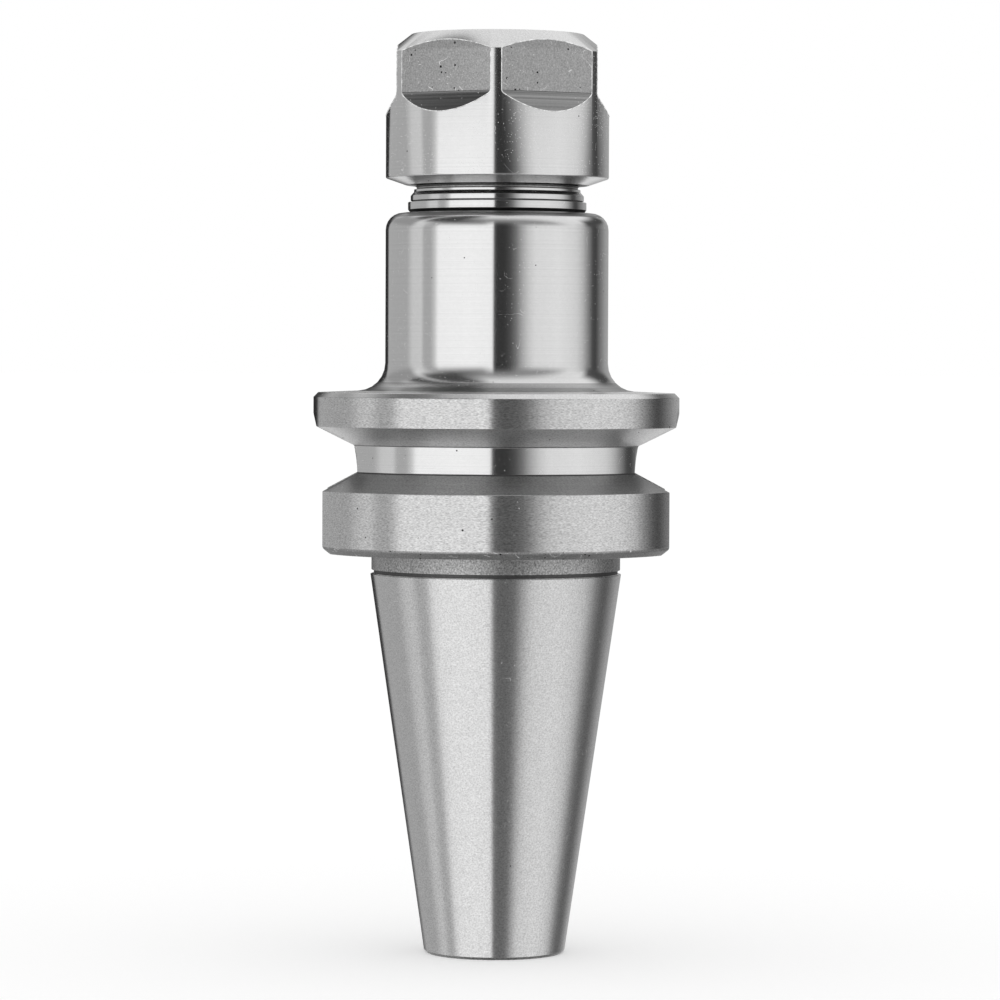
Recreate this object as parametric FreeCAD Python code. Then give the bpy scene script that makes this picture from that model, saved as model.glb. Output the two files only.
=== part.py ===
import FreeCAD, Part
import math
import os

# Collet chuck holder. Millimetres. The origin is the centre of the taper's gauge line,
# and +Z points along the spindle axis towards the clamping nut.

# Spindle taper, measured down from the gauge line
gauge_d = 31.75
taper_per_length = 7 / 24
taper_length = 48.4
small_end_chamfer = 0.35
taper_relief = 0.5

# Hole for the pull stud, in the small end
stud_pilot_d = 12.5
stud_pilot_depth = 7.0
stud_thread_d = 10.2
stud_thread_depth = 24.0
stud_hole_depth = 34.0
stud_mouth_chamfer = 0.8
drill_point_angle = 118.0
coolant_bore_d = 8.0

# Neck and gripper flange, measured up from the gauge line
neck_d = 31.3
neck_groove_d = 30.4
neck_groove_width = 0.26
gauge_to_flange = 2.0
flange_d = 46.0
flange_thickness = 19.9
flange_chamfer_width = 0.95
flange_top_chamfer_height = 0.6
flange_foot_chamfer_height = 0.8
flange_crown = 0.45
gauge_to_groove = 13.6
groove_floor_d = 38.0
groove_floor_width = 4.0
groove_angle = 60.0

# Drive slots in the flange
slot_width = 16.1
slot_floor_offset = 16.3
slot_end_above_gauge = 19.65

# Cylindrical body above the flange
body_d = 28.0
body_length = 22.7
body_foot_r = 3.5
body_top_r = 2.1

# Turned steps between body and nut
step_1_d = 22.4
step_1_height = 1.2
step_undercut = 0.35
notch_d = 21.2
notch_width = 0.15
step_2_d = 21.75
step_2_height = 0.67
relief_d = 20.24
relief_slope_height = 0.95
relief_floor_width = 0.2
nut_standoff = 1.48

# Clamping thread, held as plain cylinders at the pitch diameter
thread_d = 22.0
thread_pitch = 1.5
thread_angle = 60.0
thread_pitch_line_share = 0.375
thread_play = 0.1
thread_end_chamfer = 0.8

# Clamping nut
nut_d = 28.0
nut_height = 18.85
nut_across_flats = 25.0
nut_foot_land = 0.2
nut_foot_cone_height = 1.0
nut_top_face_d = 21.0
nut_top_chamfer_angle = 30.0
flat_start = 11.1
runout_angle = 34.0
runout_r = 1.0
nut_mouth_chamfer = 0.2
nut_relief_width = 1.6
nut_relief_play = 0.3
nut_hole_chamfer = 0.4

# Spring collet
collet_length = 27.5
collet_gauge_d = 16.0
collet_gauge_depth = 6.26
collet_half_angle = 8.0
collet_head_d = 17.0
collet_head_land = 0.6
collet_groove_d = 13.8
collet_groove_width = 2.7
collet_cone_half_angle = 30.0
collet_bore_d = 6.0
collet_edge_chamfer = 0.3
collet_below_nut_face = 0.8
slits_per_end = 8
slit_width = 0.5
front_slit_bridge = 4.0
rear_slit_bridge = 2.2

# Running clearances
seat_gap = 0.03
head_side_gap = 0.25
lip_near_gap = 0.35
lip_far_gap = 0.1
lip_groove_gap = 0.25
lip_nose_gap = 0.45

# Inner bores of the holder
socket_extra_depth = 1.2
shank_bore_d = 9.0
shank_bore_depth = 26.0
socket_mouth_chamfer = 0.4

# How far a cutter runs past the surface that it opens
cutter_overrun = 1.0

# Heights that follow, from the small end to the nut's face
small_end_z = -taper_length
flange_top_z = gauge_to_flange + flange_thickness
body_top_z = flange_top_z + body_length
step_1_top_z = body_top_z + step_1_height
notch_top_z = step_1_top_z + notch_width
step_2_top_z = notch_top_z + step_2_height
relief_z = step_2_top_z + relief_slope_height
thread_foot_z = relief_z + relief_floor_width
nut_foot_z = step_2_top_z + nut_standoff
nut_face_z = nut_foot_z + nut_height
collet_face_z = nut_face_z - collet_below_nut_face
collet_gauge_z = collet_face_z - collet_gauge_depth
collet_rear_z = collet_face_z - collet_length
nose_z = collet_gauge_z
socket_floor_z = collet_rear_z - socket_extra_depth

# Radii that follow. The pitch line lies a share of the sharp thread's height below its crest.
sharp_thread_height = thread_pitch / 2 / math.tan(math.radians(thread_angle / 2))
thread_pitch_r = thread_d / 2 - thread_pitch_line_share * sharp_thread_height
nose_r = thread_pitch_r - thread_play / 2
nut_bore_r = thread_pitch_r + thread_play / 2
axis = FreeCAD.Vector(0, 0, 1)
origin = FreeCAD.Vector(0, 0, 0)


def slope(angle):
    """Radial step for each millimetre of height on a cone of this half angle in degrees."""
    return math.tan(math.radians(angle))


def taper_r(z):
    """Radius of the spindle taper at height z."""
    return gauge_d / 2 + z * taper_per_length / 2


def collet_taper_r(z):
    """Radius of the collet's long taper at height z."""
    return collet_gauge_d / 2 + (z - collet_gauge_z) * slope(collet_half_angle)


def section(corners):
    """Closed face in the XZ plane. Each corner is (x, z) or (x, z, rounding radius)."""
    points = [FreeCAD.Vector(c[0], 0, c[1]) for c in corners]
    radii = [c[2] if len(c) > 2 else 0 for c in corners]
    count = len(points)
    arcs = []
    for i in range(count):
        here = points[i]
        back = (points[i - 1] - here).normalize()
        ahead = (points[(i + 1) % count] - here).normalize()
        half = back.getAngle(ahead) / 2
        reach = radii[i] / math.tan(half)
        middle = (back + ahead).normalize() * (radii[i] / math.sin(half) - radii[i])
        arcs.append((here + back * reach, here + middle, here + ahead * reach))
    edges = []
    for i in range(count):
        start, middle, end = arcs[i]
        if radii[i]:
            edges.append(Part.Arc(start, middle, end).toShape())
        edges.append(Part.makeLine(end, arcs[(i + 1) % count][0]))
    return Part.Face(Part.Wire(edges))


def turned(corners):
    """Solid of revolution about the spindle axis."""
    return section(corners).revolve(origin, axis, 360)


def holder_outline():
    """Outer side of the holder, from the small end up to the nose."""
    groove_half = groove_floor_width / 2
    groove_mouth = groove_half + (flange_d - groove_floor_d) / 2 * slope(groove_angle / 2)
    chamfer_z = small_end_z + small_end_chamfer
    return [
        (taper_r(chamfer_z) - small_end_chamfer, small_end_z),
        (taper_r(chamfer_z), chamfer_z),
        (taper_r(-taper_relief), -taper_relief),
        (neck_groove_d / 2, -taper_relief),
        (neck_groove_d / 2, -taper_relief + neck_groove_width),
        (neck_d / 2, -taper_relief + neck_groove_width),
        (neck_d / 2, gauge_to_flange),
        (flange_d / 2 - flange_chamfer_width, gauge_to_flange),
        (flange_d / 2, gauge_to_flange + flange_foot_chamfer_height),
        (flange_d / 2, gauge_to_groove - groove_mouth),
        (groove_floor_d / 2, gauge_to_groove - groove_half),
        (groove_floor_d / 2, gauge_to_groove + groove_half),
        (flange_d / 2, gauge_to_groove + groove_mouth),
        (flange_d / 2, flange_top_z - flange_top_chamfer_height),
        (flange_d / 2 - flange_chamfer_width, flange_top_z),
        (body_d / 2, flange_top_z + flange_crown, body_foot_r),
        (body_d / 2, body_top_z, body_top_r),
        (step_1_d / 2 - step_undercut, body_top_z),
        (step_1_d / 2, body_top_z + step_undercut),
        (step_1_d / 2, step_1_top_z),
        (notch_d / 2, step_1_top_z),
        (notch_d / 2, notch_top_z),
        (step_2_d / 2, notch_top_z),
        (step_2_d / 2, step_2_top_z),
        (relief_d / 2, relief_z),
        (relief_d / 2, thread_foot_z),
        (nose_r, thread_foot_z + nose_r - relief_d / 2),
        (nose_r, nose_z - thread_end_chamfer),
        (nose_r - thread_end_chamfer, nose_z),
    ]


def holder_bores():
    """Inner side of the holder, from the nose down to the small end."""
    mouth_r = collet_taper_r(nose_z) + seat_gap
    floor_r = collet_taper_r(socket_floor_z) + seat_gap
    shank_floor_z = socket_floor_z - shank_bore_depth
    stud_floor_z = small_end_z + stud_hole_depth
    point_height = (stud_thread_d - coolant_bore_d) / 2 / slope(drill_point_angle / 2)
    pilot_floor_z = small_end_z + stud_pilot_depth
    return [
        (mouth_r + socket_mouth_chamfer, nose_z),
        (collet_taper_r(nose_z - socket_mouth_chamfer) + seat_gap, nose_z - socket_mouth_chamfer),
        (floor_r, socket_floor_z),
        (shank_bore_d / 2, socket_floor_z),
        (shank_bore_d / 2, shank_floor_z),
        (coolant_bore_d / 2, shank_floor_z),
        (coolant_bore_d / 2, stud_floor_z + point_height),
        (stud_thread_d / 2, stud_floor_z),
        (stud_thread_d / 2, pilot_floor_z),
        (stud_pilot_d / 2, pilot_floor_z),
        (stud_pilot_d / 2, small_end_z + stud_mouth_chamfer),
        (stud_pilot_d / 2 + stud_mouth_chamfer, small_end_z),
    ]


def drive_slot():
    """Cutter for one drive slot: open below, round above, on the +X side of the flange."""
    half = slot_width / 2
    reach = flange_d / 2 - slot_floor_offset + cutter_overrun
    arch_z = slot_end_above_gauge - half
    foot = FreeCAD.Vector(slot_floor_offset, -half, gauge_to_flange - cutter_overrun)
    straight = Part.makeBox(reach, slot_width, arch_z - foot.z, foot)
    arch_centre = FreeCAD.Vector(slot_floor_offset, 0, arch_z)
    arch = Part.makeCylinder(half, reach, arch_centre, FreeCAD.Vector(1, 0, 0))
    return straight.fuse(arch).removeSplitter()


def holder_body():
    """Taper shank, flange, body and threaded nose, turned from one bar."""
    body = turned(holder_outline() + holder_bores())
    for side in range(2):
        slot = drive_slot()
        slot.rotate(origin, axis, 180 * side)
        body = body.cut(slot)
    return body


def nut_blank():
    """The nut before its flats and its eccentric lip are cut."""
    outer_r = nut_d / 2
    top_face_r = nut_top_face_d / 2
    shoulder_z = nut_face_z - (outer_r - top_face_r) * slope(nut_top_chamfer_angle)
    head_r = collet_head_d / 2
    cavity_r = head_r + head_side_gap
    head_foot_z = collet_gauge_z + collet_groove_width
    cone_foot_z = head_foot_z + collet_head_land
    cone = slope(collet_cone_half_angle)
    cone_shift = seat_gap / math.cos(math.radians(collet_cone_half_angle))
    cavity_top_z = cone_foot_z - (head_side_gap - cone_shift) / cone
    hole_z = nut_face_z - nut_hole_chamfer
    hole_r = head_r + cone_shift - (hole_z - cone_foot_z) * cone
    lip_top_z = head_foot_z - lip_groove_gap
    lip_foot_z = nose_z + lip_nose_gap
    relief_foot_z = lip_foot_z - nut_relief_width
    relief_r = thread_d / 2 + nut_relief_play
    mouth_r = nut_bore_r + nut_mouth_chamfer
    return turned([
        (mouth_r, nut_foot_z),
        (mouth_r + nut_foot_land, nut_foot_z),
        (outer_r, nut_foot_z + nut_foot_cone_height),
        (outer_r, shoulder_z),
        (top_face_r, nut_face_z),
        (hole_r + nut_hole_chamfer, nut_face_z),
        (hole_r, hole_z),
        (cavity_r, cavity_top_z),
        (cavity_r, lip_top_z),
        (collet_groove_d / 2, lip_top_z),
        (collet_groove_d / 2, lip_foot_z),
        (relief_r, lip_foot_z),
        (relief_r, relief_foot_z),
        (nut_bore_r, relief_foot_z - relief_r + nut_bore_r),
        (nut_bore_r, nut_foot_z + nut_mouth_chamfer),
    ])


def wrench_flat():
    """Cutter for one wrench flat, with the sloping run-out that the milling leaves at its foot."""
    flat_x = nut_across_flats / 2
    foot_z = nut_foot_z + flat_start
    reach_x = nut_d / 2 + cutter_overrun
    over_z = nut_face_z + cutter_overrun
    face = section([
        (flat_x, foot_z, runout_r),
        (reach_x, foot_z - (reach_x - flat_x) / slope(runout_angle)),
        (reach_x, over_z),
        (flat_x, over_z),
    ])
    face.translate(FreeCAD.Vector(0, -nut_d / 2, 0))
    return face.extrude(FreeCAD.Vector(0, nut_d, 0))


def lip_bore():
    """Cutter for the eccentric hole whose lip pulls the collet out when the nut is unscrewed."""
    near = collet_groove_d / 2 + lip_near_gap
    far = collet_head_d / 2 + lip_far_gap
    foot = FreeCAD.Vector((far - near) / 2, 0, nose_z)
    return Part.makeCylinder((far + near) / 2, collet_groove_width, foot)


def clamping_nut():
    """Nut with six wrench flats, an inner cone and an eccentric extraction lip."""
    nut = nut_blank().cut(lip_bore())
    for side in range(6):
        cutter = wrench_flat()
        cutter.rotate(origin, axis, 60 * side)
        nut = nut.cut(cutter)
    return nut


def collet_blank():
    """The collet before it is slit."""
    head_r = collet_head_d / 2
    head_foot_z = collet_gauge_z + collet_groove_width
    cone_foot_z = head_foot_z + collet_head_land
    face_r = head_r - (collet_face_z - cone_foot_z) * slope(collet_cone_half_angle)
    rear_r = collet_taper_r(collet_rear_z)
    bore_r = collet_bore_d / 2
    edge = collet_edge_chamfer
    return turned([
        (bore_r + edge, collet_rear_z),
        (rear_r - edge, collet_rear_z),
        (collet_taper_r(collet_rear_z + edge), collet_rear_z + edge),
        (collet_gauge_d / 2, collet_gauge_z),
        (collet_groove_d / 2, collet_gauge_z),
        (collet_groove_d / 2, head_foot_z),
        (head_r, head_foot_z),
        (head_r, cone_foot_z),
        (face_r, collet_face_z),
        (bore_r + edge, collet_face_z),
        (bore_r, collet_face_z - edge),
        (bore_r, collet_rear_z + edge),
    ])


def slit(foot_z, top_z, angle):
    """Cutter for one radial slit between two heights."""
    corner = FreeCAD.Vector(0, -slit_width / 2, foot_z)
    cutter = Part.makeBox(collet_head_d, slit_width, top_z - foot_z, corner)
    cutter.rotate(origin, axis, angle)
    return cutter


def collet():
    """Spring collet, slit from both ends in turn so that it closes evenly on a shank."""
    pitch = 360 / slits_per_end
    cutters = []
    for i in range(slits_per_end):
        front_foot_z = collet_rear_z + front_slit_bridge
        cutters.append(slit(front_foot_z, collet_face_z + cutter_overrun, pitch * i))
        rear_top_z = collet_gauge_z - rear_slit_bridge
        cutters.append(slit(collet_rear_z - cutter_overrun, rear_top_z, pitch * (i + 0.5)))
    return collet_blank().cut(cutters)


def main():
    os.makedirs("parts", exist_ok=True)
    pieces = {
        "holder_body": holder_body(),
        "clamping_nut": clamping_nut(),
        "collet": collet(),
    }
    for name, shape in pieces.items():
        shape.exportStep(f"parts/{name}.step")
        size = shape.BoundBox
        print(f"{name}: {shape.Volume:.1f} mm3, {len(shape.Solids)} solid, valid {shape.isValid()},"
              f" z {size.ZMin:.2f} to {size.ZMax:.2f}")


main()
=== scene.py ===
# %% [markdown]
# A collet chuck holder is a piece of turned and ground steel that carries a milling tool in a machine
# spindle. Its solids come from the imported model, in metres, and they stay where they are: this lesson
# builds a finely finished skin for each of them. Loading the solids first gives every later cell the sizes
# that it has to keep.

# %% Load the solids as the fixed frame
import math

import bmesh
import bpy
from mathutils import Matrix, Vector


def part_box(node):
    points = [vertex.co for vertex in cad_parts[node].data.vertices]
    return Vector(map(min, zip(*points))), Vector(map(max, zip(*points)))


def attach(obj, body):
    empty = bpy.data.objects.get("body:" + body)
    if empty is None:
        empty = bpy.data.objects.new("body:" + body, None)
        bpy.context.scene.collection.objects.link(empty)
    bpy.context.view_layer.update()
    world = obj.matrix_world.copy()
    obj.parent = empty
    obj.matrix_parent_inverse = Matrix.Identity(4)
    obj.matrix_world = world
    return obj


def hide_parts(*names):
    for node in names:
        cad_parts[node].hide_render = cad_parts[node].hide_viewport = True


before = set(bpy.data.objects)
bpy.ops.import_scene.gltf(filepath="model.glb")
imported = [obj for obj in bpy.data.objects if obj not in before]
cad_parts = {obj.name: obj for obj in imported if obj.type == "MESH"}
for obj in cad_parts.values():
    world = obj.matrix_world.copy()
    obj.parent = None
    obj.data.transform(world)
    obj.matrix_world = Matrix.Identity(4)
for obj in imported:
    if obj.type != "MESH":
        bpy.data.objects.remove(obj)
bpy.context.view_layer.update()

MM = 0.001
holder_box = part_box("holder_body")
nut_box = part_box("clamping_nut")
collet_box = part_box("collet")

# %% [markdown]
# The camera comes next, because all detail is judged through it. The holder was photographed with a long
# lens from a little above its gripper flange: far enough away that the body's sides look parallel, near
# enough that the rims bow. Distance, height and lens together set that bow, so all three are given as real
# sizes.

# %% Camera
SENSOR_WIDTH = 36.0
PICTURE_WIDTH = 1000
FOCAL_PIXELS = 4611
CAMERA_DISTANCE = 0.580
EYE_HEIGHT = 0.0264
AIM_HEIGHT = 0.0086
SIDE_STEP = 0.00050
ROLL = math.radians(0.24)


def new_object(name, data):
    """An object in the scene's own collection."""
    made = bpy.data.objects.new(name, data)
    bpy.context.scene.collection.objects.link(made)
    return made


camera_data = bpy.data.cameras.new("camera")
camera_data.sensor_width = SENSOR_WIDTH
camera_data.lens = FOCAL_PIXELS / PICTURE_WIDTH * SENSOR_WIDTH
camera_data.clip_start = 0.01
camera_data.clip_end = 50
camera = new_object("camera", camera_data)
pitch = math.atan((EYE_HEIGHT - AIM_HEIGHT) / CAMERA_DISTANCE)
tilt = Matrix.Rotation(math.radians(90) - pitch, 4, "X") @ Matrix.Rotation(ROLL, 4, "Z")
camera.matrix_world = Matrix.Translation((SIDE_STEP, -CAMERA_DISTANCE, EYE_HEIGHT)) @ tilt
bpy.context.scene.camera = camera
bpy.context.scene.view_settings.view_transform = "Standard"
print(f"lens {camera_data.lens:.1f} mm, looking down {math.degrees(pitch):.2f} degrees")

# %% [markdown]
# Node trees are built in code all through this lesson, for materials and for geometry alike. One small
# helper adds a node, sets its options and fills or links its inputs, so that each later cell reads like a
# list of steps. The nodes that come back most, such as Math, Map Range and Color Ramp, get a short helper
# each.

# %% Helpers that add nodes
def add(tree, kind, inputs=None, **options):
    """Adds a node. An input may be a plain value or another node's output socket."""
    made = tree.nodes.new(kind)
    for name, value in options.items():
        setattr(made, name, value)
    for key, value in (inputs or {}).items():
        if isinstance(value, bpy.types.NodeSocket):
            tree.links.new(value, made.inputs[key])
        else:
            made.inputs[key].default_value = value
    return made


def maths(tree, operation, *values):
    """Output of a Math node."""
    return add(tree, "ShaderNodeMath", dict(enumerate(values)), operation=operation).outputs[0]


def plus(tree, first, second):
    """Output of a Math node that adds."""
    return maths(tree, "ADD", first, second)


def minus(tree, first, second):
    """Output of a Math node that subtracts."""
    return maths(tree, "SUBTRACT", first, second)


def times(tree, first, second):
    """Output of a Math node that multiplies."""
    return maths(tree, "MULTIPLY", first, second)


def between(tree, value, low, high, to_low=0.0, to_high=1.0, interpolation="LINEAR"):
    """Output of a Map Range node."""
    inputs = {"Value": value, "From Min": low, "From Max": high, "To Min": to_low, "To Max": to_high}
    return add(tree, "ShaderNodeMapRange", inputs, interpolation_type=interpolation).outputs[0]


def ramp(tree, value, stops):
    """Output of a Color Ramp with grey stops, each a place and a brightness."""
    made = add(tree, "ShaderNodeValToRGB", {"Fac": value})
    steps = made.color_ramp.elements
    while len(steps) < len(stops):
        steps.new(0.5)
    for step, (place, grey) in zip(steps, stops):
        step.position = place
        step.color = (grey, grey, grey, 1)
    return made.outputs["Color"]


def from_axis(tree, axes):
    """How far a place is from the spindle axis."""
    level = add(tree, "ShaderNodeCombineXYZ", {"X": axes["X"], "Y": axes["Y"]}).outputs[0]
    return add(tree, "ShaderNodeVectorMath", {0: level}, operation="LENGTH").outputs["Value"]


def mix_grey(tree, factor, first, second):
    """Output of a colour Mix node."""
    made = add(tree, "ShaderNodeMix", {0: factor, 6: first, 7: second}, data_type="RGBA")
    return made.outputs[2]


def new_material(name):
    """An empty node material with its output node."""
    made = bpy.data.materials.new(name)
    made.use_nodes = True
    made.node_tree.nodes.clear()
    output = add(made.node_tree, "ShaderNodeOutputMaterial")
    return made, made.node_tree, output


print("helpers: add, maths, plus, minus, times, between, ramp, from_axis, mix_grey, new_material")

# %% [markdown]
# Bare steel has hardly any colour of its own: it looks like what stands around it. The picture of a
# polished cylinder is the studio, squeezed into upright bands. So the studio is built as a tent, a whole
# sphere of light round the holder that only reflections see: a bright panel on the left of the camera, a
# black gap behind the camera, a paler panel on the right and darker room behind. Each stop of PANELS is a
# direction round the tent, in degrees from the camera, positive to the right, and how bright the tent is
# there. CEILING does the same from the camera's side (0) over the top (90) to the back (180).

# %% The studio's panels
TENT_RADIUS = 2.0
PANELS = [
    (-180, 0.03), (-153, 0.03), (-150, 0.45), (-106, 0.46), (-97, 0.68), (-84, 0.69), (-81, 0.46),
    (-72, 0.46), (-66.5, 0.70), (-63, 1.06), (-30, 1.10), (-4.2, 1.06), (-3.0, 0.03), (8, 0.035),
    (14, 0.08), (20, 0.20), (26, 0.46), (33, 0.71), (40, 0.85), (66, 0.90), (83, 0.81),
    (91, 0.75), (99, 0.57), (108, 0.29), (117, 0.08), (124, 0.06), (133, 0.18), (150, 0.36), (180, 0.42),
]
CEILING = [
    (0, 0.26), (48, 0.28), (62, 0.60), (76, 0.84), (98, 0.86),
    (118, 0.90), (140, 0.90), (165, 0.78), (180, 0.66),
]
PANEL_TOP = 12
PANEL_FADE = 20
GAP_TOP = 16
GAP_FADE = 34
GAP_CENTRE = 6.0
GAP_HALF = 8
GAP_SOFT = 24
print("panels:", len(PANELS), "stops round the tent,", len(CEILING), "over it")

# %% [markdown]
# Sloping faces, such as chamfers, the foot radius of the body and the flanks of the groove, look past the
# panels at the corners of the room. Those corners are soft patches laid over the tent: one row each, with
# the degrees round the tent and above the level at which the patch fades in and out, and its brightness.
# Low down there is a weak bounce from the table, a bright strip far behind, where the white table is seen
# at a glance, and a darker table right below.

# %% Soft patches in the corners
LOW_BOUNCE = 0.21
LOW_BACK = ((156, 166, 181, 182), (-36, -24, -14, -10), 0.90)
PATCHES = [
    ((-158, -148, -104, -94), (10, 20, 34, 46), 0.34),
    ((104, 114, 152, 168), (10, 18, 25, 41), 0.07),
    ((-96, -88, -50, -14), (22, 42, 74, 92), 0.07),
    ((-140, -121, -106, -92), (34, 44, 68, 78), 0.05),
]
TABLE_EDGE = -52
TABLE_FADE = 16
TABLE_DARK = 0.20


def patch(tree, below, across, rise, sideways, upwards, grey):
    """Mixes a soft-edged patch of one grey into the light. Each range gives where it fades in and out."""
    mask = times(tree, between(tree, across, sideways[0], sideways[1]),
                 between(tree, across, sideways[2], sideways[3], 1, 0))
    mask = times(tree, mask, between(tree, rise, upwards[0], upwards[1], 0, 1, "SMOOTHSTEP"))
    mask = times(tree, mask, between(tree, rise, upwards[2], upwards[3], 1, 0, "SMOOTHSTEP"))
    return mix_grey(tree, mask, below, (grey, grey, grey, 1))


print("patches:", len(PATCHES) + 1, "and a bounce of", LOW_BOUNCE)

# %% [markdown]
# The tent's material turns the place on the sphere into angles, and the angles into light. Nothing in it
# depends on the camera, so the same studio stands round the holder from every side and at every pose. The
# sphere is hidden from the camera and casts no light on the table: it is only what the steel sees.

# %% The tent
def tent_material():
    """Light by direction only: bands round the tent, the ceiling, the patches, and a dark table below."""
    material, tree, output = new_material("studio_panels")
    place = add(tree, "ShaderNodeTexCoord").outputs["Object"]
    axes = add(tree, "ShaderNodeSeparateXYZ", {0: place}).outputs
    front = times(tree, axes["Y"], -1.0)
    across = times(tree, maths(tree, "ARCTAN2", axes["X"], front), 180 / math.pi)
    rise = times(tree, maths(tree, "ARCTAN2", axes["Z"], from_axis(tree, axes)), 180 / math.pi)
    over = times(tree, maths(tree, "ARCTAN2", axes["Z"], front), 180 / math.pi)
    bands = ramp(tree, between(tree, across, -180, 180), [((a + 180) / 360, g) for a, g in PANELS])
    bounce = between(tree, rise, -7, -15, 0.0, LOW_BOUNCE)
    bounce = add(tree, "ShaderNodeCombineXYZ", {"X": bounce, "Y": bounce, "Z": bounce}).outputs[0]
    bands = add(tree, "ShaderNodeVectorMath", {0: bands, 1: bounce}, operation="MAXIMUM").outputs[0]
    ceiling = ramp(tree, between(tree, over, 0, 180), [(e / 180, g) for e, g in CEILING])
    from_gap = maths(tree, "ABSOLUTE", minus(tree, across, GAP_CENTRE))
    gap = between(tree, from_gap, GAP_HALF, GAP_SOFT, 1, 0, "SMOOTHSTEP")
    gap = times(tree, gap, between(tree, rise, GAP_TOP, GAP_TOP + GAP_FADE, 1, 0, "SMOOTHSTEP"))
    fade = between(tree, rise, PANEL_TOP, PANEL_TOP + PANEL_FADE, 0, 1, "SMOOTHSTEP")
    fade = times(tree, fade, minus(tree, 1.0, gap))
    sides = mix_grey(tree, fade, bands, ceiling)
    for sideways, upwards, grey in PATCHES:
        sides = patch(tree, sides, across, rise, sideways, upwards, grey)
    sides = patch(tree, sides, maths(tree, "ABSOLUTE", across), rise, *LOW_BACK)
    table = between(tree, rise, TABLE_EDGE, TABLE_EDGE - TABLE_FADE, 0, 1, "SMOOTHSTEP")
    whole = mix_grey(tree, table, sides, (TABLE_DARK, TABLE_DARK, TABLE_DARK, 1))
    light = add(tree, "ShaderNodeEmission", {"Color": whole, "Strength": 1.0})
    tree.links.new(light.outputs[0], output.inputs["Surface"])
    return material


shape = bmesh.new()
bmesh.ops.create_uvsphere(shape, u_segments=96, v_segments=48, radius=TENT_RADIUS)
tent_mesh = bpy.data.meshes.new("studio_tent")
shape.to_mesh(tent_mesh)
shape.free()
tent = new_object("studio_tent", tent_mesh)
tent.data.materials.append(tent_material())
for ray in ("camera", "diffuse", "transmission", "volume_scatter", "shadow"):
    setattr(tent, "visible_" + ray, False)
print("tent faces:", len(tent.data.polygons))

# %% [markdown]
# The holder stands on a plain white table. The table is a large sheet with a matt white finish, lit by an
# even white sky, which gives the soft grey contact shadow under the steel. A little light of its own lifts
# the sheet to the white of the sky behind it, and no lamp is turned up. The steel's reflections pass the
# sheet by and see the low part of the tent instead, which stands for a table that ends behind the holder.

# %% Floor and sky
FLOOR_Z = holder_box[0].z
FLOOR_REACH = 20.0
FLOOR_WHITE = 0.80
FLOOR_LIFT = 0.22


def floor_material():
    """Matt white, lifted to the white of the sky for the camera."""
    material, tree, output = new_material("white_table")
    lift = times(tree, add(tree, "ShaderNodeLightPath").outputs["Is Camera Ray"], FLOOR_LIFT)
    table = add(tree, "ShaderNodeBsdfPrincipled")
    table.inputs["Base Color"].default_value = (FLOOR_WHITE, FLOOR_WHITE, FLOOR_WHITE, 1)
    table.inputs["Roughness"].default_value = 0.9
    table.inputs["Specular IOR Level"].default_value = 0.0
    table.inputs["Emission Color"].default_value = (1, 1, 1, 1)
    tree.links.new(lift, table.inputs["Emission Strength"])
    tree.links.new(table.outputs[0], output.inputs["Surface"])
    return material


floor_mesh = bpy.data.meshes.new("table_top")
corners = [(-1, -1), (1, -1), (1, 1), (-1, 1)]
floor_mesh.from_pydata([(x * FLOOR_REACH, y * FLOOR_REACH, FLOOR_Z) for x, y in corners], [], [(0, 1, 2, 3)])
floor = new_object("table_top", floor_mesh)
floor.data.materials.append(floor_material())
floor.visible_glossy = False

sky = bpy.data.worlds.new("white_sky")
sky.use_nodes = True
sky.node_tree.nodes["Background"].inputs["Color"].default_value = (1, 1, 1, 1)
sky.node_tree.nodes["Background"].inputs["Strength"].default_value = 1.0
bpy.context.scene.world = sky
print("floor at", round(FLOOR_Z, 5), "m, sky strength 1")

# %% [markdown]
# Four effects return in nearly every finish of this holder, so each is a node group, built once. Turning
# lines are the fine rings that a lathe or grinding wheel leaves: noise that changes along the axis and the
# radius but hardly round the part. Grain is the cloudy, slightly streaked tone of a satin surface. All read
# object coordinates, so they stay fixed on the piece.

# %% Node groups for turning lines and grain
def new_group(name, inputs, output):
    """A shader node group with named number inputs beside its place in the piece, and one number output."""
    group = bpy.data.node_groups.new(name, "ShaderNodeTree")
    group.interface.new_socket("Place", in_out="INPUT", socket_type="NodeSocketVector")
    for socket, value in inputs.items():
        made = group.interface.new_socket(socket, in_out="INPUT", socket_type="NodeSocketFloat")
        made.default_value = value
    group.interface.new_socket(output, in_out="OUTPUT", socket_type="NodeSocketFloat")
    return group, add(group, "NodeGroupInput").outputs, add(group, "NodeGroupOutput")


def turning_lines_group():
    """Rings one Spacing apart, uneven in depth, that fade in and out round the part."""
    inputs = {"Spacing": 0.3, "Broken": 0.3, "Radial": 1.0}
    group, given, result = new_group("turning lines", inputs, "Height")
    axes = add(group, "ShaderNodeSeparateXYZ", {0: given["Place"]}).outputs
    outwards = times(group, from_axis(group, axes), given["Radial"])
    along = times(group, plus(group, axes["Z"], outwards), 1 / MM)
    step = maths(group, "DIVIDE", along, given["Spacing"])
    rings = add(group, "ShaderNodeTexNoise", {"W": step, "Scale": 1.0, "Detail": 2.5}, noise_dimensions="1D")
    patches = add(group, "ShaderNodeTexNoise", {"Vector": given["Place"], "Scale": 160.0, "Detail": 2.0})
    depth = minus(group, 1.0, times(group, given["Broken"], patches.outputs[0]))
    centred = minus(group, rings.outputs[0], 0.5)
    group.links.new(times(group, centred, depth), result.inputs["Height"])
    return group


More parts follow.
